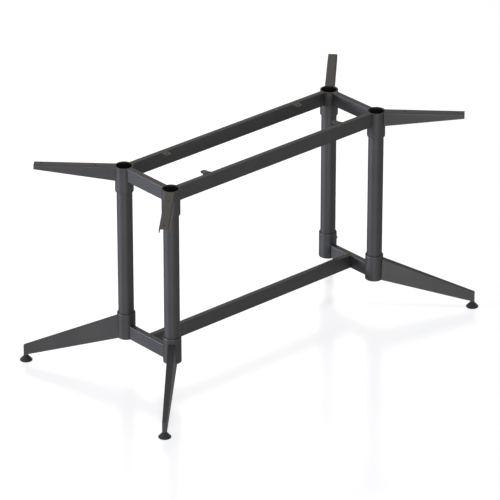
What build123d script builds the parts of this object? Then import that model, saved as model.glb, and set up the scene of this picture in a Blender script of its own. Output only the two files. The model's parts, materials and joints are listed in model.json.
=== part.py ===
from build123d import *
import os
from math import cos, radians, sin

# Steel table frame: four round columns stand in sockets, a box-rail frame with four channel arms
# carries the table top, and a braced base spreads onto four hollow legs with levelling feet.
# Millimetres. +Z is up, +X runs along the frame, and the origin is on the floor between the feet.

# Layout
frame_height = 710
column_spacing_x = 886
column_spacing_y = 228
base_clearance = 98
spread_angle = 45

# Columns and their sockets
column_diameter = 51
column_wall = 2.5
socket_height = 90
socket_clearance = 0.75
socket_wall = 3.75
socket_mouth_depth = 28
socket_web = 6
socket_rim_land = 0.25

# Bolts, washers and plugs that hold the columns in the sockets
bolt_diameter = 10
bolt_length = 25
bolt_head_diameter = 16
bolt_head_height = 10
bolt_key_width = 8
bolt_key_depth = 5
bolt_hole_clearance = 0.5
washer_diameter = 21
washer_thickness = 2
plug_thickness = 12
plug_clearance = 0.1
thread_clearance = 0.1

# Box rails
rail_width = 20
rail_height = 48
rail_wall = 2
rail_inner_radius = 1
weld_gap = 0.2

# Fixing lugs on the long top rails
lug_spacing_x = 566
lug_hole_inset = 14
lug_hole_diameter = 7
lug_width = 23.4
lug_flare_radius = 4.5
lug_thickness = 2.5

# Channel arms under the table top
arm_reach = 288.5
arm_width = 31.5
arm_sheet = 2.5
arm_bend_radius = 1.5
arm_root_depth = 48
arm_tip_depth = 15
arm_hole_diameter = 6.5
arm_root_hole_inset = 62.3
arm_tip_hole_inset = 24.3

# Legs, whose root section is given on the socket's axis
foot_reach = 329.6
leg_root_lift = 6.6
leg_root_height = 77
leg_root_top_width = 25
leg_root_bottom_width = 36.4
leg_end_height = 33
leg_end_width = 15.6
leg_wall = 3.5
leg_edge_radius = 1.5
leg_nose_radius = 3
leg_boss_diameter = 14.4
leg_boss_length = 1
leg_boss_margin = 0.2

# Levelling feet
pad_diameter = 42
pad_edge_radius = 1
pad_rim_height = 2.5
pad_cone_height = 15
pad_neck_height = 2
pad_floor = 5
pad_seat_gap = 0.3
stud_diameter = 8
stud_length = 38
stud_chamfer = 1
stud_end_gap = 2

# Worked out from the sizes above
socket_bore_radius = column_diameter / 2 + socket_clearance
socket_radius = socket_bore_radius + socket_wall
socket_rim_radius = socket_wall - socket_rim_land
socket_web_depth = socket_mouth_depth + socket_web
column_bore_radius = column_diameter / 2 - column_wall
column_bottom = base_clearance + socket_web_depth
column_top = frame_height - socket_web_depth
top_rail_middle = frame_height - rail_height / 2
base_rail_middle = base_clearance + rail_height / 2
rail_face_y = column_spacing_y / 2 - rail_width / 2
arm_hole_reaches = (socket_radius + arm_root_hole_inset, arm_reach - arm_tip_hole_inset)
leg_reach = foot_reach + leg_boss_diameter / 2 + leg_boss_margin
pad_height = pad_rim_height + pad_cone_height + pad_neck_height
leg_boss_bottom = pad_height + pad_seat_gap
leg_end_lift = leg_boss_bottom + leg_boss_length
stud_top = pad_floor + stud_length

corners = {
    "front_left": (-1, -1),
    "front_right": (1, -1),
    "back_left": (-1, 1),
    "back_right": (1, 1),
}


def column_axis(side_x, side_y):
    """Where a corner's column stands, seen from above."""
    return (side_x * column_spacing_x / 2, side_y * column_spacing_y / 2)


def outward_point(side_x, side_y, reach):
    """The point at a distance from a corner's column axis along its arm and leg."""
    axis_x, axis_y = column_axis(side_x, side_y)
    angle = radians(spread_angle)
    return (axis_x + side_x * reach * cos(angle), axis_y + side_y * reach * sin(angle))


def section_plane(side_x, side_y, reach):
    """A plane square to a corner's arm and leg: local x across it, local y up from the floor."""
    angle = radians(spread_angle)
    out_x = side_x * cos(angle)
    out_y = side_y * sin(angle)
    point_x, point_y = outward_point(side_x, side_y, reach)
    return Plane(origin=(point_x, point_y, 0), x_dir=(-out_y, out_x, 0), z_dir=(out_x, out_y, 0))


def profile_plane(side_x, side_y):
    """The upright plane through a corner's arm and leg: local x outward, local y up."""
    angle = radians(spread_angle)
    out_x = side_x * cos(angle)
    out_y = side_y * sin(angle)
    axis_x, axis_y = column_axis(side_x, side_y)
    return Plane(origin=(axis_x, axis_y, 0), x_dir=(out_x, out_y, 0), z_dir=(out_y, -out_x, 0))


def turning_plane(centre):
    """An upright plane through a vertical axis, for profiles that are turned about it."""
    return Plane(origin=(centre[0], centre[1], 0), x_dir=(1, 0, 0), z_dir=(0, -1, 0))


def upright(centre):
    """The vertical axis at a point on the floor."""
    return Axis((centre[0], centre[1], 0), (0, 0, 1))


def cope_circles(*sides):
    """Circles that cut a welded end to the round of the sockets at the given corners."""
    with BuildSketch() as circles:
        with Locations(*[column_axis(side_x, side_y) for side_x, side_y in sides]):
            Circle(socket_radius + weld_gap)
    return circles.sketch


def box_section(plane):
    """The rounded box section of every rail, on a plane whose local y is up."""
    with BuildSketch(plane) as section:
        RectangleRounded(rail_width, rail_height, rail_inner_radius + rail_wall)
        inner_width = rail_width - 2 * rail_wall
        inner_height = rail_height - 2 * rail_wall
        RectangleRounded(inner_width, inner_height, rail_inner_radius, mode=Mode.SUBTRACT)
    return section.sketch


def folded_outline(width, depth, radius):
    """A rectangle hanging from the sketch's local x axis with its two upper corners rounded."""
    with BuildSketch() as outline:
        Rectangle(width, depth, align=(Align.CENTER, Align.MAX))
        fillet(outline.vertices().group_by(Axis.Y)[-1], radius)
    return outline.sketch


def socket_profile(plane, mouth, direction):
    """Half section of a socket: an open mouth, a web with a bolt hole, and the column's bore."""
    web_hole_radius = bolt_diameter / 2 + bolt_hole_clearance
    rim = mouth + direction * socket_height
    web_near = mouth + direction * socket_mouth_depth
    web_far = mouth + direction * socket_web_depth
    with BuildSketch(plane) as section:
        with BuildLine():
            Polyline(
                (socket_radius, mouth),
                (socket_radius, rim),
                (socket_bore_radius, rim),
                (socket_bore_radius, web_far),
                (web_hole_radius, web_far),
                (web_hole_radius, web_near),
                (socket_bore_radius, web_near),
                (socket_bore_radius, mouth),
                close=True,
            )
        make_face()
    return section.sketch


def save(piece, name):
    """Label a finished piece and write it to its own file."""
    piece.label = name
    export_step(piece, f"parts/{name}.step")


os.makedirs("parts", exist_ok=True)

# Columns: plain round tubes that stand between the webs of their two sockets
for corner, sides in corners.items():
    with BuildPart() as column:
        with BuildSketch(Plane.XY.offset(column_bottom)):
            with Locations(column_axis(*sides)):
                Circle(column_diameter / 2)
                Circle(column_bore_radius, mode=Mode.SUBTRACT)
        extrude(amount=column_top - column_bottom)
    save(column.part, f"column_{corner}")

# Sockets: the top ones open upward, and the base ones are the same piece turned over
socket_levels = {
    "top_socket": (frame_height, -1),
    "base_socket": (base_clearance, 1),
}
for socket_name, (mouth, direction) in socket_levels.items():
    for corner, sides in corners.items():
        axis = column_axis(*sides)
        with BuildPart() as socket:
            revolve(socket_profile(turning_plane(axis), mouth, direction), axis=upright(axis))
            rim_edges = socket.edges().filter_by(GeomType.CIRCLE).group_by(Axis.Z)
            column_rim = rim_edges[-1] if direction > 0 else rim_edges[0]
            fillet(column_rim.sort_by(SortBy.RADIUS)[-1], socket_rim_radius)
        save(socket.part, f"{socket_name}_{corner}")

# Plugs, washers and bolts: one of each at either end of every column
fixing_points = [
    (column_axis(*sides), mouth, direction)
    for mouth, direction in socket_levels.values()
    for sides in corners.values()
]

with BuildPart() as plugs:
    for axis, mouth, direction in fixing_points:
        with BuildSketch(Plane.XY.offset(mouth + direction * socket_web_depth)):
            with Locations(axis):
                Circle(column_bore_radius - plug_clearance)
                Circle(bolt_diameter / 2 + thread_clearance, mode=Mode.SUBTRACT)
        extrude(amount=direction * plug_thickness)
save(plugs.part, "column_plugs")

with BuildPart() as washers:
    for axis, mouth, direction in fixing_points:
        with BuildSketch(Plane.XY.offset(mouth + direction * socket_mouth_depth)):
            with Locations(axis):
                Circle(washer_diameter / 2)
                Circle(bolt_diameter / 2 + bolt_hole_clearance, mode=Mode.SUBTRACT)
        extrude(amount=-direction * washer_thickness)
save(washers.part, "column_washers")

with BuildPart() as bolts:
    for axis, mouth, direction in fixing_points:
        head_seat = mouth + direction * (socket_mouth_depth - washer_thickness)
        head_top = head_seat - direction * bolt_head_height
        with BuildSketch(Plane.XY.offset(head_seat)):
            with Locations(axis):
                Circle(bolt_diameter / 2)
        extrude(amount=direction * bolt_length)
        with BuildSketch(Plane.XY.offset(head_seat)):
            with Locations(axis):
                Circle(bolt_head_diameter / 2)
        extrude(amount=-direction * bolt_head_height)
        with BuildSketch(Plane.XY.offset(head_top)):
            with Locations(axis):
                RegularPolygon(bolt_key_width / 2, 6, major_radius=False)
        extrude(amount=direction * bolt_key_depth, mode=Mode.SUBTRACT)
save(bolts.part, "column_bolts")

# Long top rails, coped to the sockets at both ends
for name, side_y in {"front": -1, "back": 1}.items():
    start = (-column_spacing_x / 2, side_y * column_spacing_y / 2, top_rail_middle)
    with BuildPart() as top_rail:
        extrude(
            box_section(Plane(origin=start, x_dir=(0, 1, 0), z_dir=(1, 0, 0))),
            amount=column_spacing_x,
        )
        extrude(cope_circles((-1, side_y), (1, side_y)), amount=frame_height, mode=Mode.SUBTRACT)
    save(top_rail.part, f"top_rail_{name}")

# Short cross rails at both levels, coped in the same way
cross_rail_levels = {
    "top_cross_rail": top_rail_middle,
    "base_cross_rail": base_rail_middle,
}
for rail_name, level in cross_rail_levels.items():
    for name, side_x in {"left": -1, "right": 1}.items():
        start = (side_x * column_spacing_x / 2, -column_spacing_y / 2, level)
        with BuildPart() as cross_rail:
            extrude(
                box_section(Plane(origin=start, x_dir=(-1, 0, 0), z_dir=(0, 1, 0))),
                amount=column_spacing_y,
            )
            extrude(cope_circles((side_x, -1), (side_x, 1)), amount=frame_height, mode=Mode.SUBTRACT)
        save(cross_rail.part, f"{rail_name}_{name}")

# Base stretcher, butted between the middles of the base cross rails
stretcher_length = column_spacing_x - rail_width
with BuildPart() as stretcher:
    extrude(
        box_section(
            Plane(origin=(-stretcher_length / 2, 0, base_rail_middle), x_dir=(0, 1, 0), z_dir=(1, 0, 0))
        ),
        amount=stretcher_length,
    )
save(stretcher.part, "base_stretcher")

# Fixing lugs: flared tabs on the inner faces of the long top rails, flush with their tops
for corner, (side_x, side_y) in corners.items():
    root = (side_x * lug_spacing_x / 2, side_y * rail_face_y, frame_height)
    half = lug_width / 2
    flare = half + lug_flare_radius
    with BuildPart() as lug:
        with BuildSketch(Plane(origin=root, x_dir=(-side_y, 0, 0), z_dir=(0, 0, 1))):
            with BuildLine():
                RadiusArc((-flare, 0), (-half, lug_flare_radius), lug_flare_radius)
                Line((-half, lug_flare_radius), (-half, lug_hole_inset))
                ThreePointArc((-half, lug_hole_inset), (0, lug_hole_inset + half), (half, lug_hole_inset))
                Line((half, lug_hole_inset), (half, lug_flare_radius))
                RadiusArc((half, lug_flare_radius), (flare, 0), lug_flare_radius)
                Line((flare, 0), (-flare, 0))
            make_face()
            with Locations((0, lug_hole_inset)):
                Circle(lug_hole_diameter / 2, mode=Mode.SUBTRACT)
        extrude(amount=-lug_thickness)
    save(lug.part, f"fixing_lug_{corner}")

# Channel arms: sheet folded to an open box, its flanges cut to a taper, coped to the top sockets
arm_slope = (arm_root_depth - arm_tip_depth) / (arm_reach - socket_radius)
arm_axis_depth = arm_root_depth + arm_slope * socket_radius
for corner, sides in corners.items():
    with BuildPart() as arm:
        with BuildSketch(section_plane(*sides, 0)):
            with Locations((0, frame_height)):
                add(folded_outline(arm_width, arm_axis_depth, arm_bend_radius + arm_sheet))
            with Locations((0, frame_height - arm_sheet)):
                inner_width = arm_width - 2 * arm_sheet
                add(folded_outline(inner_width, arm_axis_depth, arm_bend_radius), mode=Mode.SUBTRACT)
        extrude(amount=arm_reach)
        with BuildSketch(profile_plane(*sides)):
            with BuildLine():
                Polyline(
                    (0, frame_height - arm_axis_depth),
                    (arm_reach, frame_height - arm_axis_depth),
                    (arm_reach, frame_height - arm_tip_depth),
                    close=True,
                )
            make_face()
        extrude(amount=arm_width, both=True, mode=Mode.SUBTRACT)
        extrude(cope_circles(sides), amount=frame_height, mode=Mode.SUBTRACT)
        with BuildSketch(Plane.XY.offset(frame_height)):
            with Locations(*[outward_point(*sides, reach) for reach in arm_hole_reaches]):
                Circle(arm_hole_diameter / 2)
        extrude(amount=-arm_sheet, mode=Mode.SUBTRACT)
    save(arm.part, f"top_arm_{corner}")


def leg_size(root_value, end_value, reach):
    """A leg's size at a distance from the socket's axis, on a straight taper to its end face."""
    return root_value + (end_value - root_value) * reach / leg_reach


def leg_section(side_x, side_y, reach, inset, drop):
    """A leg's upright section, drawn in by a wall on three sides and let down at the bottom."""
    bottom = leg_size(base_clearance + leg_root_lift, leg_end_lift, reach)
    top = bottom + leg_size(leg_root_height, leg_end_height, reach) - inset
    half_bottom = leg_size(leg_root_bottom_width, leg_end_width, reach) / 2 - inset
    half_top = leg_size(leg_root_top_width, leg_end_width, reach) / 2 - inset
    with BuildSketch(section_plane(side_x, side_y, reach)) as section:
        with BuildLine():
            Polyline(
                (-half_bottom, bottom - drop),
                (half_bottom, bottom - drop),
                (half_top, top),
                (-half_top, top),
                close=True,
            )
        make_face()
    return section.sketch


# Legs: tapered shells with flared sides, hollow from below, solid where the foot screws in
pocket_start = socket_radius + weld_gap + leg_wall
pocket_end = foot_reach - leg_boss_diameter / 2 - leg_wall
leg_boss_top = leg_end_lift + leg_end_height / 2
stud_hole_depth = stud_top + stud_end_gap - leg_boss_bottom
for corner, sides in corners.items():
    outward = Axis(profile_plane(*sides).origin, profile_plane(*sides).x_dir)
    foot_axis = outward_point(*sides, foot_reach)
    with BuildPart() as leg:
        loft([leg_section(*sides, 0, 0, 0), leg_section(*sides, leg_reach, 0, 0)], ruled=True)
        fillet(leg.faces().sort_by(outward)[-1].edges().filter_by(Axis.Z), leg_nose_radius)
        top_face = leg.faces().sort_by(lambda face: face.normal_at().Z)[-1]
        fillet(top_face.edges().sort_by(outward)[1:], leg_edge_radius)
        loft(
            [
                leg_section(*sides, pocket_start, leg_wall, leg_wall),
                leg_section(*sides, pocket_end, leg_wall, leg_wall),
            ],
            ruled=True,
            mode=Mode.SUBTRACT,
        )
        with BuildSketch(Plane.XY.offset(leg_boss_bottom)):
            with Locations(foot_axis):
                Circle(leg_boss_diameter / 2)
        extrude(amount=leg_boss_top - leg_boss_bottom)
        extrude(cope_circles(sides), amount=frame_height, mode=Mode.SUBTRACT)
        with BuildSketch(Plane.XY.offset(leg_boss_bottom)):
            with Locations(foot_axis):
                Circle(stud_diameter / 2 + thread_clearance)
        extrude(amount=stud_hole_depth, mode=Mode.SUBTRACT)
    save(leg.part, f"base_leg_{corner}")

# Levelling feet: a moulded conical pad on a threaded stud
for corner, sides in corners.items():
    foot_axis = outward_point(*sides, foot_reach)
    neck_radius = leg_boss_diameter / 2
    stud_seat_radius = stud_diameter / 2 + thread_clearance
    with BuildPart() as pad:
        with BuildSketch(turning_plane(foot_axis)):
            with BuildLine():
                Polyline(
                    (0, 0),
                    (pad_diameter / 2 - pad_edge_radius, 0),
                    (pad_diameter / 2, pad_edge_radius),
                    (pad_diameter / 2, pad_rim_height),
                    (neck_radius, pad_rim_height + pad_cone_height),
                    (neck_radius, pad_height),
                    (stud_seat_radius, pad_height),
                    (stud_seat_radius, pad_floor),
                    (0, pad_floor),
                    close=True,
                )
            make_face()
        revolve(axis=upright(foot_axis))
    save(pad.part, f"foot_pad_{corner}")

    with BuildPart() as stud:
        with BuildSketch(Plane.XY.offset(pad_floor)):
            with Locations(foot_axis):
                Circle(stud_diameter / 2)
        extrude(amount=stud_length)
        chamfer(stud.edges().filter_by(GeomType.CIRCLE), stud_chamfer)
    save(stud.part, f"foot_stud_{corner}")
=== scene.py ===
import json
import math

import bmesh
import bpy
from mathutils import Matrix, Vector


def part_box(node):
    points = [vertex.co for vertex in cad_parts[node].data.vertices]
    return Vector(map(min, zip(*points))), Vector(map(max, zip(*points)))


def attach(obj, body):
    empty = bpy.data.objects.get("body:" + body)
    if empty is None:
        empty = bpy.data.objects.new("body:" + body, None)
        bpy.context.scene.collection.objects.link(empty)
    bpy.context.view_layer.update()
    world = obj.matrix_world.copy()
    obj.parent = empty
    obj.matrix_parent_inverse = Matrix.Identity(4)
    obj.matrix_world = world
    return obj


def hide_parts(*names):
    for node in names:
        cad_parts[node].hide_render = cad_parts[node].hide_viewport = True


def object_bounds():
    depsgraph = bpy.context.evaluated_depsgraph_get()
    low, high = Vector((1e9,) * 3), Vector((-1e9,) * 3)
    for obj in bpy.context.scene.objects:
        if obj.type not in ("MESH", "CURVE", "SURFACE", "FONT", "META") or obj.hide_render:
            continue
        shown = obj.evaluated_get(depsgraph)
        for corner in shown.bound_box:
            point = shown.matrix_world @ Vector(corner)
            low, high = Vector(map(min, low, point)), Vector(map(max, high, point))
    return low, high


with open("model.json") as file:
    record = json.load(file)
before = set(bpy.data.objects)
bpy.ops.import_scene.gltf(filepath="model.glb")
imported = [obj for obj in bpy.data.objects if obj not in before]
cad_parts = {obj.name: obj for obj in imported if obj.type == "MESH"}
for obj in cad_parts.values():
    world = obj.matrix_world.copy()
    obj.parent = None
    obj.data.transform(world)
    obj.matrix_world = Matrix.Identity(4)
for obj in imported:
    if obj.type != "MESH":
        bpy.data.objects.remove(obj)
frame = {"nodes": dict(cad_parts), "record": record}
cad_low, cad_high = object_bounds()

# A table frame in satin charcoal powder coat, on moulded feet, in a plain white studio.
# Lengths are in metres, and the angles of the camera and lamps are in degrees.
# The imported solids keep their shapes, with softened edges. The feet's studs get their threads here.

# Camera
camera_azimuth = -41.63
camera_elevation = 26.48
camera_distance = 13.64
camera_lens_mm = 300.5
camera_aim = Vector((-0.005, 0.004, 0.305))
camera_reach = 100

# Edges of the coated steel
coat_edge_radius = 0.0006
socket_edge_radius = 0.0002
edge_angle = math.radians(35)
edge_segments = 2
weld_distance = 0.00001
large_face_weight = 100

# Stud threads
thread_pitch = 0.00125
thread_depth = 0.00065
thread_sides = 36
thread_steps = 8

# Floor
floor_size = 80
floor_drop = 0.0002
floor_colour = (0.83, 0.86, 0.97, 1)
floor_roughness = 0.22
floor_metallic = 0.2
floor_white_share = 0.77

# The span that most values of a noise texture lie in
noise_low = 0.3
noise_high = 0.7

white = (1, 1, 1, 1)
ambient_level = 0.1

corners = ("front_left", "front_right", "back_left", "back_right")


def new_material(name):
    """An empty node material with its shader: (material, nodes, links, shader)."""
    material = bpy.data.materials.new(name)
    material.use_nodes = True
    nodes = material.node_tree.nodes
    links = material.node_tree.links
    shader = nodes["Principled BSDF"]
    return material, nodes, links, shader


def noise(nodes, links, scale, detail, roughness=0.5):
    """The values of a noise texture that stays with the piece as it moves."""
    place = nodes.new("ShaderNodeTexCoord")
    texture = nodes.new("ShaderNodeTexNoise")
    texture.inputs["Scale"].default_value = scale
    texture.inputs["Detail"].default_value = detail
    texture.inputs["Roughness"].default_value = roughness
    links.new(place.outputs["Object"], texture.inputs["Vector"])
    return texture.outputs["Fac"]


def spread(nodes, links, source, low, high):
    """A texture's middle range, stretched between two values."""
    ranged = nodes.new("ShaderNodeMapRange")
    ranged.inputs["From Min"].default_value = noise_low
    ranged.inputs["From Max"].default_value = noise_high
    ranged.inputs["To Min"].default_value = low
    ranged.inputs["To Max"].default_value = high
    links.new(source, ranged.inputs["Value"])
    return ranged.outputs["Result"]


def two_tone(nodes, links, source, dark, light):
    """A colour that drifts between two tones with a texture."""
    ramp = nodes.new("ShaderNodeValToRGB")
    first, last = ramp.color_ramp.elements
    first.position = noise_low
    first.color = (*dark, 1)
    last.position = noise_high
    last.color = (*light, 1)
    links.new(source, ramp.inputs["Fac"])
    return ramp.outputs["Color"]


def speckled(nodes, links, colour, scale, share):
    """A colour with fine specks that are lighter or darker by a share."""
    specks = noise(nodes, links, scale=scale, detail=1)
    tinted = nodes.new("ShaderNodeVectorMath")
    tinted.operation = "SCALE"
    links.new(colour, tinted.inputs["Vector"])
    links.new(spread(nodes, links, specks, 1 - share, 1 + share), tinted.inputs["Scale"])
    return tinted.outputs["Vector"]


def raised(nodes, links, source, height, strength):
    """A bumped normal from a texture, with its height in metres."""
    bump = nodes.new("ShaderNodeBump")
    bump.inputs["Distance"].default_value = height
    bump.inputs["Strength"].default_value = strength
    links.new(source, bump.inputs["Height"])
    return bump.outputs["Normal"]


def powder_coat():
    """Satin charcoal powder coat: fine metal flake, an orange peel, and slow drifts of tone and gloss."""
    material, nodes, links, shader = new_material("charcoal_powder_coat")
    drift = noise(nodes, links, scale=9, detail=3)
    peel = noise(nodes, links, scale=620, detail=2)
    tone = two_tone(nodes, links, drift, dark=(0.046, 0.046, 0.046), light=(0.052, 0.052, 0.052))
    flaked = speckled(nodes, links, tone, scale=2600, share=0.2)
    roughness = spread(nodes, links, drift, low=0.47, high=0.51)
    normal = raised(nodes, links, peel, height=0.00006, strength=0.5)
    links.new(flaked, shader.inputs["Base Color"])
    links.new(roughness, shader.inputs["Roughness"])
    links.new(normal, shader.inputs["Normal"])
    shader.inputs["Metallic"].default_value = 0.8
    shader.inputs["IOR"].default_value = 1.3
    shader.inputs["Specular Tint"].default_value = (0.5, 0.5, 0.5, 1)
    return material


def plated_steel():
    """Dull zinc plate with a cloudy tone."""
    material, nodes, links, shader = new_material("zinc_plate")
    cloud = noise(nodes, links, scale=160, detail=4, roughness=0.6)
    tone = two_tone(nodes, links, cloud, dark=(0.22, 0.22, 0.215), light=(0.32, 0.32, 0.31))
    roughness = spread(nodes, links, cloud, low=0.36, high=0.50)
    links.new(tone, shader.inputs["Base Color"])
    links.new(roughness, shader.inputs["Roughness"])
    shader.inputs["Metallic"].default_value = 1
    return material


def foot_plastic():
    """Moulded charcoal plastic with a fine spark-eroded grain."""
    material, nodes, links, shader = new_material("moulded_plastic")
    drift = noise(nodes, links, scale=40, detail=3)
    grain = noise(nodes, links, scale=1500, detail=2)
    tone = two_tone(nodes, links, drift, dark=(0.010, 0.010, 0.011), light=(0.014, 0.014, 0.015))
    roughness = spread(nodes, links, grain, low=0.34, high=0.42)
    normal = raised(nodes, links, grain, height=0.00004, strength=0.6)
    links.new(tone, shader.inputs["Base Color"])
    links.new(roughness, shader.inputs["Roughness"])
    links.new(normal, shader.inputs["Normal"])
    shader.inputs["IOR"].default_value = 1.3
    return material


def paint(piece, material):
    """Give a piece one material."""
    piece.data.materials.clear()
    piece.data.materials.append(material)


def soften(piece, radius):
    """Round a piece's sharp edges a little, as a coat of paint does."""
    weld = piece.modifiers.new("weld", "WELD")
    weld.merge_threshold = weld_distance
    bevel = piece.modifiers.new("edges", "BEVEL")
    bevel.width = radius
    bevel.segments = edge_segments
    bevel.limit_method = "ANGLE"
    bevel.angle_limit = edge_angle
    bevel.use_clamp_overlap = True
    shading = piece.modifiers.new("shading", "WEIGHTED_NORMAL")
    shading.mode = "FACE_AREA"
    shading.weight = large_face_weight


def thread_radius(turn, height, length, crest):
    """How far a thread's surface stands out at a turn and height, with tapered ends."""
    phase = (height / thread_pitch - turn) % 1
    flank = abs(2 * phase - 1)
    end_gap = min(height, length - height)
    taper = min(1, end_gap / thread_depth)
    return crest - thread_depth * max(flank, 1 - taper)


def threaded_stud(corner):
    """A stud with its thread, in the place of the plain one."""
    low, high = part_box(f"foot_stud_{corner}")
    centre = (low + high) / 2
    length = high.z - low.z
    crest = (high.x - low.x) / 2
    rows = round(length / thread_pitch * thread_steps)
    mesh = bmesh.new()
    rings = []
    for row in range(rows + 1):
        height = length * row / rows
        ring = []
        for side in range(thread_sides):
            turn = side / thread_sides
            radius = thread_radius(turn, height, length, crest)
            angle = 2 * math.pi * turn
            ring.append(mesh.verts.new((
                centre.x + radius * math.cos(angle),
                centre.y + radius * math.sin(angle),
                low.z + height,
            )))
        rings.append(ring)
    for below, above in zip(rings, rings[1:]):
        for side in range(thread_sides):
            after = (side + 1) % thread_sides
            mesh.faces.new((below[side], below[after], above[after], above[side]))
    mesh.faces.new(list(reversed(rings[0])))
    mesh.faces.new(rings[-1])
    data = bpy.data.meshes.new(f"stud_thread_{corner}")
    mesh.to_mesh(data)
    mesh.free()
    stud = bpy.data.objects.new(f"stud_thread_{corner}", data)
    bpy.context.scene.collection.objects.link(stud)
    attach(stud, f"foot_{corner}")
    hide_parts(f"foot_stud_{corner}")
    return stud


def white_where_seen(nodes, links, share):
    """The share of plain white that shows to the camera, in gloss and through glass. Other rays get none."""
    path = nodes.new("ShaderNodeLightPath")
    seen = path.outputs["Is Camera Ray"]
    for other in ("Is Glossy Ray", "Is Transmission Ray"):
        either = nodes.new("ShaderNodeMath")
        either.operation = "MAXIMUM"
        links.new(seen, either.inputs[0])
        links.new(path.outputs[other], either.inputs[1])
        seen = either.outputs["Value"]
    scaled = nodes.new("ShaderNodeMath")
    scaled.operation = "MULTIPLY"
    scaled.inputs[1].default_value = share
    links.new(seen, scaled.inputs[0])
    return scaled.outputs["Value"]


def studio_floor():
    """A wide white floor with a soft sheen, which keeps a faint shadow and mirror image."""
    bpy.ops.mesh.primitive_plane_add(size=floor_size, location=(0, 0, -floor_drop))
    floor = bpy.context.object
    floor.name = "floor"
    material, nodes, links, shader = new_material("white_floor")
    shader.inputs["Base Color"].default_value = floor_colour
    shader.inputs["Roughness"].default_value = floor_roughness
    shader.inputs["Metallic"].default_value = floor_metallic
    glow = nodes.new("ShaderNodeEmission")
    blend = nodes.new("ShaderNodeMixShader")
    links.new(white_where_seen(nodes, links, floor_white_share), blend.inputs["Fac"])
    links.new(shader.outputs["BSDF"], blend.inputs[1])
    links.new(glow.outputs["Emission"], blend.inputs[2])
    links.new(blend.outputs["Shader"], nodes["Material Output"].inputs["Surface"])
    paint(floor, material)


def studio_world():
    """Plain white where it is seen, and a weak, even light all round the object."""
    world = bpy.data.worlds.new("studio")
    world.use_nodes = True
    bpy.context.scene.world = world
    nodes = world.node_tree.nodes
    links = world.node_tree.links
    even = nodes["Background"]
    even.inputs["Color"].default_value = white
    even.inputs["Strength"].default_value = ambient_level
    backdrop = nodes.new("ShaderNodeBackground")
    backdrop.inputs["Color"].default_value = white
    blend = nodes.new("ShaderNodeMixShader")
    links.new(white_where_seen(nodes, links, 1), blend.inputs["Fac"])
    links.new(even.outputs["Background"], blend.inputs[1])
    links.new(backdrop.outputs["Background"], blend.inputs[2])
    links.new(blend.outputs["Shader"], nodes["World Output"].inputs["Surface"])


def away(azimuth, elevation):
    """The direction out from the object at an azimuth and elevation in degrees, as for a view."""
    turn = math.radians(azimuth)
    rise = math.radians(elevation)
    return Vector((math.sin(turn) * math.cos(rise), -math.cos(turn) * math.cos(rise), math.sin(rise)))


def softbox(name, azimuth, elevation, distance, width, height, level, colour, in_gloss):
    """An area lamp aimed at the middle of the object. At level 1 it lights a facing white card to white."""
    lamp = bpy.data.lights.new(name, "AREA")
    lamp.shape = "RECTANGLE"
    lamp.size = width
    lamp.size_y = height
    lamp.energy = level * (math.pi * distance) ** 2
    lamp.color = colour
    box = bpy.data.objects.new(name, lamp)
    out = away(azimuth, elevation)
    box.location = (cad_low + cad_high) / 2 + out * distance
    box.rotation_euler = out.to_track_quat("Z", "Y").to_euler()
    box.visible_glossy = in_gloss
    box.visible_camera = False
    bpy.context.scene.collection.objects.link(box)


def place_camera():
    """A long lens at the photograph's angle."""
    back = away(camera_azimuth, camera_elevation)
    data = bpy.data.cameras.new("camera")
    data.lens = camera_lens_mm
    data.clip_end = camera_reach
    camera = bpy.data.objects.new("camera", data)
    camera.location = camera_aim + back * camera_distance
    camera.rotation_euler = (-back).to_track_quat("-Z", "Y").to_euler()
    bpy.context.scene.collection.objects.link(camera)
    bpy.context.scene.camera = camera


# Finishes
finishes = {
    "coated_steel": powder_coat(),
    "plated_steel": plated_steel(),
    "foot_plastic": foot_plastic(),
}
for part in frame["record"]["subparts"]:
    piece = frame["nodes"][part["node"]]
    paint(piece, finishes[part["material_slot"]])
    if part["material_slot"] == "coated_steel":
        # A socket's rim is narrow, so its edges are rounded less
        is_socket = "socket" in part["node"]
        soften(piece, socket_edge_radius if is_socket else coat_edge_radius)

for corner in corners:
    paint(threaded_stud(corner), finishes["plated_steel"])

# Studio
studio_floor()
studio_world()
softbox(
    "left_strip", azimuth=-119, elevation=4, distance=22, width=1.6, height=2.9,
    level=1.7, colour=(0.82, 0.85, 1.0), in_gloss=True,
)
softbox(
    "front_strip", azimuth=-38, elevation=4, distance=22, width=1.2, height=2.9,
    level=0.56, colour=(1.0, 0.98, 1.0), in_gloss=True,
)
softbox(
    "back", azimuth=147, elevation=24, distance=25, width=10, height=7,
    level=0.14, colour=(1.0, 0.82, 0.62), in_gloss=True,
)
softbox(
    "overhead", azimuth=0, elevation=90, distance=14, width=5, height=5,
    level=0.85, colour=(1.0, 0.98, 0.95), in_gloss=False,
)
place_camera()

view = bpy.context.scene.view_settings
view.view_transform = "Standard"
